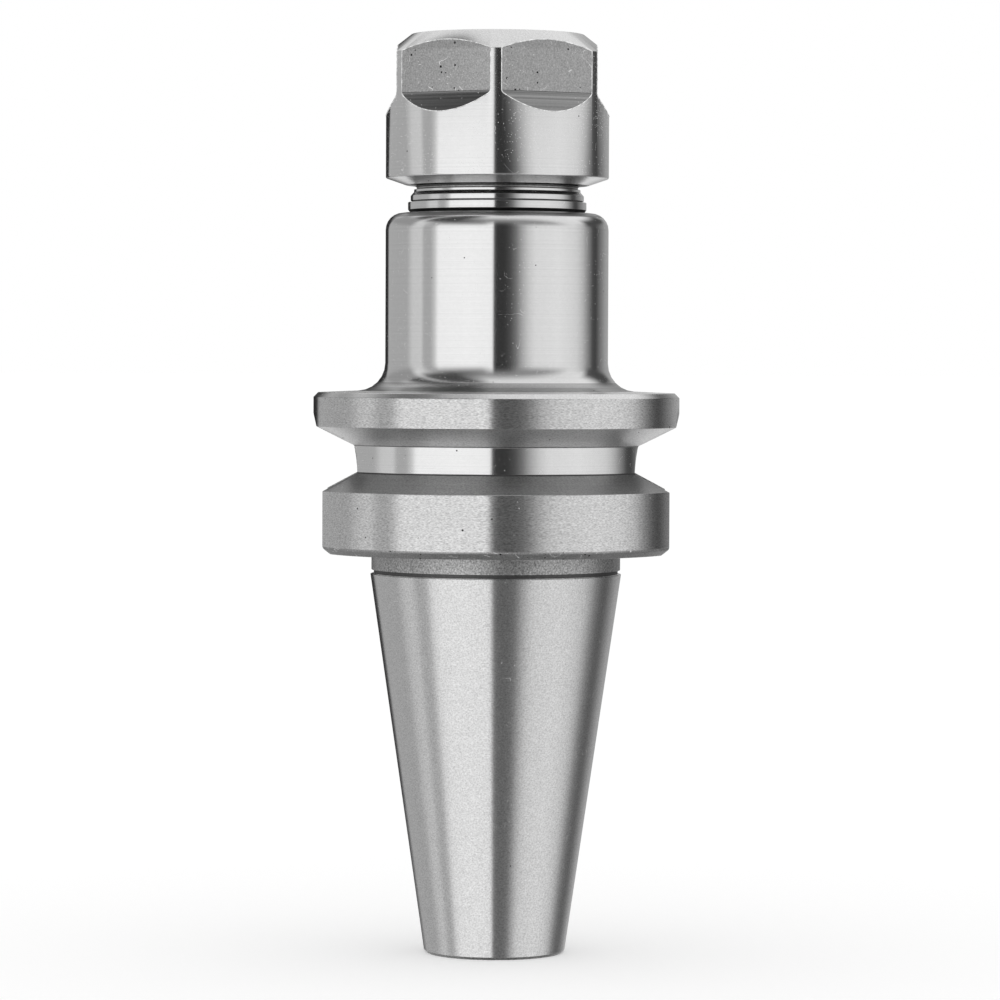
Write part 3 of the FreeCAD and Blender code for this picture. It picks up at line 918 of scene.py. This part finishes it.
# %% Finishes of the holder
def holder_finish(radius, height, out, face):
    """Which finish each place of the holder has."""
    centre = face.center / MM
    level_x = abs(face.normal.x)
    if radius < 9.6 and height > 40 or radius < 8.2 and out < 0.5 and height > SMALL_END_Z + 0.05:
        return "bored"
    if height < -0.60:
        return "ground" if height > SMALL_END_Z + SMALL_CHAMFER - 0.02 else "matt"
    # The small groove at the neck gets near-black painted shade.
    if height < FLANGE_FOOT_Z and radius < NECK_R + 0.02:
        return "matt" if radius > NECK_R - 0.05 else "slit"
    if abs(centre.y) < SLOT_HALF + 0.2 and height < SLOT_TOP_Z + 0.2 and radius < FLANGE_R - 0.05:
        if abs(centre.x) < SLOT_FLOOR_X + 0.1 and level_x > 0.9 or level_x < 0.05:
            return "matt"
    if height < FLANGE_FOOT_Z + 0.05:
        return "matt"
    # Near-black painted shade in the notch above the first step.
    if step_1_top < height < notch_top and radius < STEP_2_R - 0.03:
        return "slit"
    # Painted shade on the foot radius of the body, lighter higher up.
    if FLANGE_TOP_Z + 0.2 < height < FLANGE_TOP_Z + 1.2 and radius < BODY_R + 3.2:
        return "fillet" if height < FLANGE_TOP_Z + 0.7 else "hollow"
    # Painted shade round the body's top, near black in the undercut.
    if BODY_TOP_Z - 0.5 < height < BODY_TOP_Z + 0.4 and radius < BODY_R - 0.6:
        return "slit" if height > BODY_TOP_Z - 0.02 and radius < BODY_R - 1.6 else "fillet"
    # Painted shade on the neck under the nut.
    if height > step_3_top - 0.01 and radius < STEP_3_R - 0.02:
        return "shaded"
    if height > FLANGE_TOP_Z + 0.02 or radius < BODY_R + 0.1:
        return "polished" if height > FLANGE_TOP_Z + 0.5 else "flank"
    if radius > FLANGE_R - 0.03:
        return "streaked"
    # Painted shade in the corners of the groove's floor, near black at the lower one.
    if abs(height - GROOVE_Z) < GROOVE_HALF + 0.12 and radius < GROOVE_FLOOR_R + 0.12 and out < 0.95:
        return "slit" if height < GROOVE_Z else "shaded"
    if abs(height - GROOVE_Z) < GROOVE_HALF - 0.02:
        return "polished"
    # Painted shade on the lower flank of the groove.
    if abs(height - GROOVE_Z) < groove_mouth:
        return "flank" if height > GROOVE_Z else "shaded"
    if height > GROOVE_Z:
        return "satin"
    return "milled"


print("holder finishes:", paint(holder_mesh, holder_finish))
smooth(holder_mesh)
new_piece("holder", holder_mesh, "holder", "holder_steel", "holder_body")

# %% [markdown]
# The clamping thread is M22 with a pitch of 1.5 mm. A thread is a ridge that follows a helix, which is
# exactly what a spiral curve and a swept section give, so a Geometry Nodes tree makes it. The same tree
# makes the ridge on the nose and the one inside the nut: only radius, widths and direction differ. Both
# start in step, so the nut's ridge runs in the nose's groove while the nut is unscrewed by six turns.

# %% A Geometry Nodes tree for a thread ridge
THREAD_PITCH = 1.5
THREAD_MAJOR_R = 11.0


def thread_tree():
    """Sweeps a ridge, wide at Root and narrow at Crest, along a helix."""
    sizes = ("Root Radius", "Crest Radius", "Root Width", "Crest Width", "Foot Height", "Pitch", "Turns")
    sockets = [(size, "Float") for size in sizes] + [("Steps a Turn", "Int")]
    tree, given = geometry_tree("thread ridge", sockets)
    steps = times(tree, given["Turns"], given["Steps a Turn"])
    columns = plus(tree, steps, 1.0)
    grid = add(tree, "GeometryNodeMeshGrid", {"Size X": 1.0, "Size Y": 1.0, "Vertices X": columns,
                                              "Vertices Y": 5})
    number = add(tree, "GeometryNodeInputIndex").outputs[0]
    column = maths(tree, "FLOOR", maths(tree, "DIVIDE", plus(tree, number, 0.5), 5.0))
    row = minus(tree, number, times(tree, column, 5.0))
    turn = maths(tree, "DIVIDE", column, given["Steps a Turn"])
    angle = times(tree, turn, 2 * math.pi)
    from_start = times(tree, turn, 5.0)
    from_end = times(tree, minus(tree, given["Turns"], turn), 5.0)
    runout = add(tree, "ShaderNodeClamp", {"Value": maths(tree, "MINIMUM", from_start, from_end)}).outputs[0]
    top = maths(tree, "LESS_THAN", maths(tree, "ABSOLUTE", minus(tree, row, 1.5)), 0.6)
    growth = times(tree, top, runout)
    reach = minus(tree, given["Crest Radius"], given["Root Radius"])
    radius = plus(tree, given["Root Radius"], times(tree, growth, reach))
    narrow = minus(tree, given["Crest Width"], given["Root Width"])
    width = plus(tree, given["Root Width"], times(tree, top, narrow))
    upper = maths(tree, "LESS_THAN", maths(tree, "ABSOLUTE", minus(tree, row, 2.5)), 0.6)
    side = minus(tree, upper, 0.5)
    height = plus(tree, times(tree, side, width), times(tree, turn, given["Pitch"]))
    height = plus(tree, height, given["Foot Height"])
    x = times(tree, radius, maths(tree, "COSINE", angle))
    y = times(tree, radius, maths(tree, "SINE", angle))
    spot = add(tree, "ShaderNodeCombineXYZ", {"X": x, "Y": y, "Z": height}).outputs[0]
    swept = add(tree, "GeometryNodeSetPosition", {"Geometry": grid.outputs["Mesh"], "Position": spot})
    joined = add(tree, "GeometryNodeJoinGeometry")
    tree.links.new(swept.outputs[0], joined.inputs[0])
    tree.links.new(given["Blank"], joined.inputs[0])
    merged = add(tree, "GeometryNodeMergeByDistance", {"Geometry": joined.outputs[0], "Distance": 1e-6})
    give_result(tree, merged.outputs[0], given["Finish"])
    return tree


THREAD = thread_tree()
print("thread inputs:", [i.name for i in THREAD.interface.items_tree if i.in_out == "INPUT"])

# %% [markdown]
# The nose's ridge starts just above the relief groove and ends short of the nose's chamfer. Its widths come
# from the thread's flanks, which stand at 60 degrees to each other: a ridge is half a pitch wide at the
# pitch line, less a little play.

# %% The thread on the nose
def close_ends(mesh):
    """Fills the two end sections of a ridge and turns its faces outwards."""
    shape = bmesh.new()
    shape.from_mesh(mesh)
    rim = [e for e in shape.edges if len(e.link_faces) == 1]
    if rim:
        bmesh.ops.holes_fill(shape, edges=rim, sides=0)
    bmesh.ops.recalc_face_normals(shape, faces=shape.faces)
    shape.to_mesh(mesh)
    shape.free()


def ridge(name, root, crest, root_width, crest_width, foot, turns, finish):
    """A thread ridge in millimetres."""
    values = {"Root Radius": root * MM, "Crest Radius": crest * MM, "Root Width": root_width * MM,
              "Crest Width": crest_width * MM, "Foot Height": foot * MM, "Pitch": THREAD_PITCH * MM,
              "Turns": turns, "Steps a Turn": 72, "Finish": FINISHES[finish]}
    mesh = run_tree(name, bpy.data.meshes.new(name + "_blank"), THREAD, **values)
    close_ends(mesh)
    smooth(mesh)
    return mesh


PITCH_R = THREAD_MAJOR_R - 0.487
FLANK = 2 * math.tan(math.radians(30))
THREAD_PLAY = 0.12
THREAD_CREST_R = THREAD_MAJOR_R - 0.05


def ridge_width(radius, sign):
    """Width of a ridge at a radius. sign is 1 where the ridge narrows outwards and -1 where inwards."""
    return THREAD_PITCH / 2 - THREAD_PLAY - sign * (radius - PITCH_R) * FLANK


nose_turns = (NOSE_Z - 0.5 - 0.5 - thread_foot - 0.6) / THREAD_PITCH
nose_start = thread_foot + 0.8
nose_root = THREAD_CORE_R - 0.03
nose_thread_mesh = ridge("nose_thread", nose_root, THREAD_CREST_R, ridge_width(nose_root, 1),
                         ridge_width(THREAD_CREST_R, 1), nose_start, round(nose_turns), "bored")
new_piece("nose_thread", nose_thread_mesh, "holder", "holder_steel")
print("nose thread:", round(nose_turns), "turns from", nose_start, "mm")

# %% [markdown]
# The clamping nut is turned first. Its outline goes up the round outside, over the chamfer to the face, and
# back down inside: the cone that presses on the collet, a ring of metal that becomes the lip, and the
# thread's core.

# %% The nut's outline
NUT_FOOT_Z = nut_box[0].z / MM
NUT_FACE_Z = nut_box[1].z / MM
NUT_R = 14.0
NUT_FACE_R = 10.85
NUT_SLOPE = math.tan(math.radians(38))
NUT_FOOT_RISE = 0.87
NUT_CORE_R = 11.07
MOUTH_R = NUT_CORE_R + 0.2
NUT_RELIEF_R = 11.3
NUT_RELIEF_WIDTH = 1.6
NUT_HOLE_CHAMFER = 0.4
HEAD_R = 8.5
HEAD_LAND = 0.6
COLLET_GROOVE_WIDTH = 2.7
HEAD_SIDE_GAP = 0.25
CAVITY_R = HEAD_R + HEAD_SIDE_GAP
LIP_R = 7.925
LIP_OFFSET = 0.675
GAUGE_TOP_Z = NOSE_Z
lip_foot = GAUGE_TOP_Z + 0.45
groove_top = GAUGE_TOP_Z + COLLET_GROOVE_WIDTH
lip_top = groove_top - 0.25
cone_foot = groove_top + HEAD_LAND
cone_slope = math.tan(math.radians(30))
cone_shift = SEAT_GAP / math.cos(math.radians(30))
hole_z = NUT_FACE_Z - NUT_HOLE_CHAMFER
hole_r = HEAD_R + cone_shift - (hole_z - cone_foot) * cone_slope
lip_inside = LIP_R - LIP_OFFSET - 0.35
relief_foot = lip_foot - NUT_RELIEF_WIDTH
nut_shoulder = NUT_FACE_Z - (NUT_R - NUT_FACE_R) * NUT_SLOPE
nut_outline = [
    (MOUTH_R, NUT_FOOT_Z, 0.06),
    (MOUTH_R + 0.2, NUT_FOOT_Z, 0.06),
    (NUT_R, NUT_FOOT_Z + NUT_FOOT_RISE, 0.25),
    (NUT_R, nut_shoulder, 0.12),
    (NUT_FACE_R, NUT_FACE_Z, 0.15),
    (hole_r + NUT_HOLE_CHAMFER, NUT_FACE_Z, 0.08),
    (hole_r, hole_z, 0.08),
    (CAVITY_R, cone_foot - (HEAD_SIDE_GAP - cone_shift) / cone_slope, 0.05),
    (CAVITY_R, lip_top, 0.05),
    (lip_inside, lip_top, 0),
    (lip_inside, lip_foot, 0),
    (NUT_RELIEF_R, lip_foot, 0.05),
    (NUT_RELIEF_R, relief_foot, 0.05),
    (NUT_CORE_R, relief_foot - (NUT_RELIEF_R - NUT_CORE_R), 0),
    (NUT_CORE_R, NUT_FOOT_Z + MOUTH_R - NUT_CORE_R, 0.03),
]
nut_mesh = turned("nut", nut_outline, 360)
print("hole:", round(2 * hole_r, 2), "mm, chamfer", round(NUT_FACE_Z - nut_shoulder, 2), "mm high")

# %% [markdown]
# The lip inside the nut sits off centre. It snaps into the collet's groove at one side and pulls the collet
# out when the nut is undone. The outline left a full ring there, and a round cutter set off the axis bores
# it away until only the lip is left, as on the lathe.

# %% The lip that pulls the collet
SIDES = 96
lip_turn = [math.radians(360 * k / SIDES) for k in range(SIDES)]
lip_bar = bpy.data.meshes.new("lip_bar")
lip_ring = [(LIP_OFFSET + LIP_R * math.cos(t), LIP_R * math.sin(t)) for t in lip_turn]
lip_places = [(x * MM, y * MM, z * MM) for z in (GAUGE_TOP_Z, groove_top) for x, y in lip_ring]
lip_faces = [tuple(range(SIDES)), tuple(range(SIDES, 2 * SIDES))]
lip_faces += [(k, (k + 1) % SIDES, SIDES + (k + 1) % SIDES, SIDES + k) for k in range(SIDES)]
lip_bar.from_pydata(lip_places, [], lip_faces)
outward(lip_bar)
nut_mesh = cut_round("nut", nut_mesh, lip_bar, 1)

# %% [markdown]
# Then six wrench flats are milled, for a 25 mm spanner, each with a small concave run-out where the cutter
# left the metal. Where the flat meets the round nut, that run-out draws the curved line at the foot of each
# flat. The cutter is one bar with that section, and the tree sets it six times round the axis.

# %% Wrench flats
ACROSS_FLATS = 24.9
FLAT_FOOT_Z = NUT_FOOT_Z + 10.98
NUT_LEAN = -0.8
RUNOUT_ANGLE = math.radians(34)
RUNOUT_R = 1.0


def flat_section():
    """Section of the flat's cutter: upright flat, concave corner, sloping run-out."""
    flat_x = ACROSS_FLATS / 2
    reach = NUT_R + 1
    half = (math.pi - RUNOUT_ANGLE) / 2
    back = RUNOUT_R / math.tan(half)
    start, turn = math.pi, RUNOUT_ANGLE
    centre_x, centre_z = flat_x + RUNOUT_R, FLAT_FOOT_Z + back
    points = [(flat_x, NUT_FACE_Z + 1)]
    for k in range(9):
        angle = start + turn * k / 8
        points.append((centre_x + RUNOUT_R * math.cos(angle), centre_z + RUNOUT_R * math.sin(angle)))
    points.append((reach, FLAT_FOOT_Z - (reach - flat_x) / math.tan(RUNOUT_ANGLE)))
    points.append((reach, NUT_FACE_Z + 1))
    return points


flat_bar = prism("flat_bar", flat_section(), -NUT_R, NUT_R, "y")
nut_mesh = cut_round("nut", nut_mesh, flat_bar, 6, NUT_LEAN)
print("nut corner at the camera: flats face", [60 * k + NUT_LEAN for k in range(6)], "degrees from +X")

# %% [markdown]
# A milling cutter pushes up a hair-thin burr along the edges of a flat, and it shows as a fine bright line:
# the bead has the bright edge finish, which is partly a painted highlight. It follows the edges, so Geometry
# Nodes find it: edges sharper than an angle become curves, and a tiny round section is swept along them. The
# bead is made before the edges are broken, while they are still sharp.

# %% The burr round the flats
BURR_R = 0.06


def burr_tree():
    """Sweeps a hair-thin round section along every sharp edge above Lowest and outside Inner Radius."""
    sizes = ("Least Angle", "Lowest", "Inner Radius", "Thickness")
    tree, given = geometry_tree("burr along sharp edges", [(size, "Float") for size in sizes])
    angle = add(tree, "GeometryNodeInputMeshEdgeAngle").outputs["Unsigned Angle"]
    axes = add(tree, "ShaderNodeSeparateXYZ", {0: add(tree, "GeometryNodeInputPosition").outputs[0]}).outputs
    radius = from_axis(tree, axes)
    chosen = maths(tree, "GREATER_THAN", angle, given["Least Angle"])
    chosen = times(tree, chosen, maths(tree, "GREATER_THAN", axes["Z"], given["Lowest"]))
    chosen = times(tree, chosen, maths(tree, "GREATER_THAN", radius, given["Inner Radius"]))
    path = add(tree, "GeometryNodeMeshToCurve", {"Mesh": given["Blank"], "Selection": chosen}).outputs[0]
    section = add(tree, "GeometryNodeCurvePrimitiveCircle", {"Resolution": 8, "Radius": given["Thickness"]})
    bead = add(tree, "GeometryNodeCurveToMesh", {"Curve": path, "Profile Curve": section.outputs["Curve"],
                                                 "Fill Caps": True}).outputs[0]
    give_result(tree, bead, given["Finish"])
    return tree


burr_values = {"Least Angle": math.radians(22), "Lowest": (FLAT_FOOT_Z - 3) * MM, "Inner Radius": 12 * MM,
               "Thickness": BURR_R * MM, "Finish": FINISHES["edge"]}
burr_mesh = run_tree("nut_burr", nut_mesh.copy(), burr_tree(), **burr_values)
outward(burr_mesh)
smooth(burr_mesh, 80)
new_piece("nut_burr", burr_mesh, "nut", "nut_steel")
break_edges(nut_mesh, EDGE_BREAK, 22)

# %% [markdown]
# The round part of the nut is polished, and handling has left it full of dust. The flats are matt, with a
# line of painted shade in the crease where the cutter turned down into the run-out, and streaks in the
# run-out itself. The narrow strip where a flat meets the round part has the bright edge finish, partly a
# painted highlight. A flat is told from the round part by its distance from the axis, which is smaller than
# the nut's radius.

# %% Finishes of the nut
def nut_finish(radius, height, out, face):
    """Polished round the outside, milled on the flats, satin on both chamfers, bored inside."""
    if out < 0.2 and radius < NUT_RELIEF_R + 0.3 and height < NUT_FACE_Z - 0.02:
        return "bored"
    if face.normal.z > 0.3 and height > nut_shoulder - 2.5:
        return "satin"
    if height < NUT_FOOT_Z + 0.86 and radius < NUT_R - 0.03:
        return "foot"
    centre = face.center / MM
    away = centre.x * face.normal.x + centre.y * face.normal.y
    level = math.hypot(face.normal.x, face.normal.y)
    distance = away / max(level, 1e-6)
    if height > FLAT_FOOT_Z - 3 and distance < NUT_R - 0.03:
        # A line of near-black painted shade in the crease at the foot of each flat.
        if 0.14 < height - FLAT_FOOT_Z < 0.32 and face.normal.z > 0.04:
            return "slit"
        if face.normal.z > 0.3 or height < FLAT_FOOT_Z + 0.15:
            return "runout"
        # The strip between a flat and the round part gets the bright edge finish, partly a painted highlight.
        return "milled" if distance < ACROSS_FLATS / 2 + 0.04 else "edge"
    return "handled"


print("nut finishes:", paint(nut_mesh, nut_finish))
smooth(nut_mesh)
new_piece("nut", nut_mesh, "nut", "nut_steel", "clamping_nut")

# %% [markdown]
# The nut's thread is the same ridge turned inside out: its root is the outer side. It starts half a pitch
# above the start of the nose's ridge, so that each ridge lies in the other's groove.

# %% The thread in the nut
nut_root = NUT_CORE_R + 0.03
nut_crest = THREAD_MAJOR_R - 0.75
nut_turns = int((relief_foot - 0.3 - NUT_FOOT_Z - 1.6) / THREAD_PITCH)
nut_start = nose_start + THREAD_PITCH * 0.5
nut_thread_mesh = ridge("nut_thread", nut_root, nut_crest, ridge_width(nut_root, -1),
                        ridge_width(nut_crest, -1), nut_start, nut_turns - 1, "bored")
new_piece("nut_thread", nut_thread_mesh, "nut", "nut_steel")
print("nut thread:", nut_turns - 1, "turns from", nut_start, "mm")

# %% [markdown]
# The spring collet holds the tool. It is a long ground cone with a head, sawn from both ends in turn so
# that it closes evenly: eight slits from the front, eight from the rear between them. The blank is turned,
# and the same tree that cut the flats saws the slits. Only its face shows, down in the nut's hole.

# %% The collet
COLLET_REAR_Z = collet_box[0].z / MM
COLLET_FACE_Z = collet_box[1].z / MM
BORE_R = 3.0
COLLET_GROOVE_R = 6.9
COLLET_CHAMFER = 0.3
SLIT_HALF = 0.25
FRONT_BRIDGE = 4.0
REAR_BRIDGE = 2.2
SLITS = 8
SAW_REACH = (1.5, 10)
rear_r = COLLET_GAUGE_R + (COLLET_REAR_Z - GAUGE_TOP_Z) * COLLET_SLOPE
face_r = HEAD_R - (COLLET_FACE_Z - cone_foot) * cone_slope
collet_outline = [
    (BORE_R + COLLET_CHAMFER, COLLET_REAR_Z, 0),
    (rear_r - COLLET_CHAMFER, COLLET_REAR_Z, 0),
    (rear_r + COLLET_CHAMFER * COLLET_SLOPE, COLLET_REAR_Z + COLLET_CHAMFER, 0.05),
    (COLLET_GAUGE_R, GAUGE_TOP_Z, 0.05),
    (COLLET_GROOVE_R, GAUGE_TOP_Z, 0.05),
    (COLLET_GROOVE_R, groove_top, 0.05),
    (HEAD_R, groove_top, 0.05),
    (HEAD_R, cone_foot, 0.05),
    (face_r, COLLET_FACE_Z, 0.08),
    (BORE_R + COLLET_CHAMFER, COLLET_FACE_Z, 0.05),
    (BORE_R, COLLET_FACE_Z - COLLET_CHAMFER, 0),
    (BORE_R, COLLET_REAR_Z + COLLET_CHAMFER, 0),
]
collet_mesh = turned("collet", collet_outline, 144)


def saw(name, low, high):
    """A saw blade that cuts the wall of the collet between two heights."""
    section = [(-SLIT_HALF, low), (SLIT_HALF, low), (SLIT_HALF, high), (-SLIT_HALF, high)]
    return prism(name, section, *SAW_REACH, "x")


front_saw = saw("front_saw", COLLET_REAR_Z + FRONT_BRIDGE, COLLET_FACE_Z + 1)
rear_saw = saw("rear_saw", COLLET_REAR_Z - 1, GAUGE_TOP_Z - REAR_BRIDGE)
collet_mesh = cut_round("collet", collet_mesh, front_saw, SLITS)
collet_mesh = cut_round("collet", collet_mesh, rear_saw, SLITS, 180 / SLITS)


def collet_finish(radius, height, out, face):
    """Ground outside, bored inside, and near-black painted shade on the walls of the slits."""
    if radius < BORE_R + 0.02:
        return "bored"
    # Near-black painted shade on the walls of the slits.
    if abs(out) < 0.2 and abs(face.normal.z) < 0.2:
        return "slit"
    return "satin"


print("collet finishes:", paint(collet_mesh, collet_finish))
smooth(collet_mesh)
new_piece("collet", collet_mesh, "collet", "collet_steel", "collet")
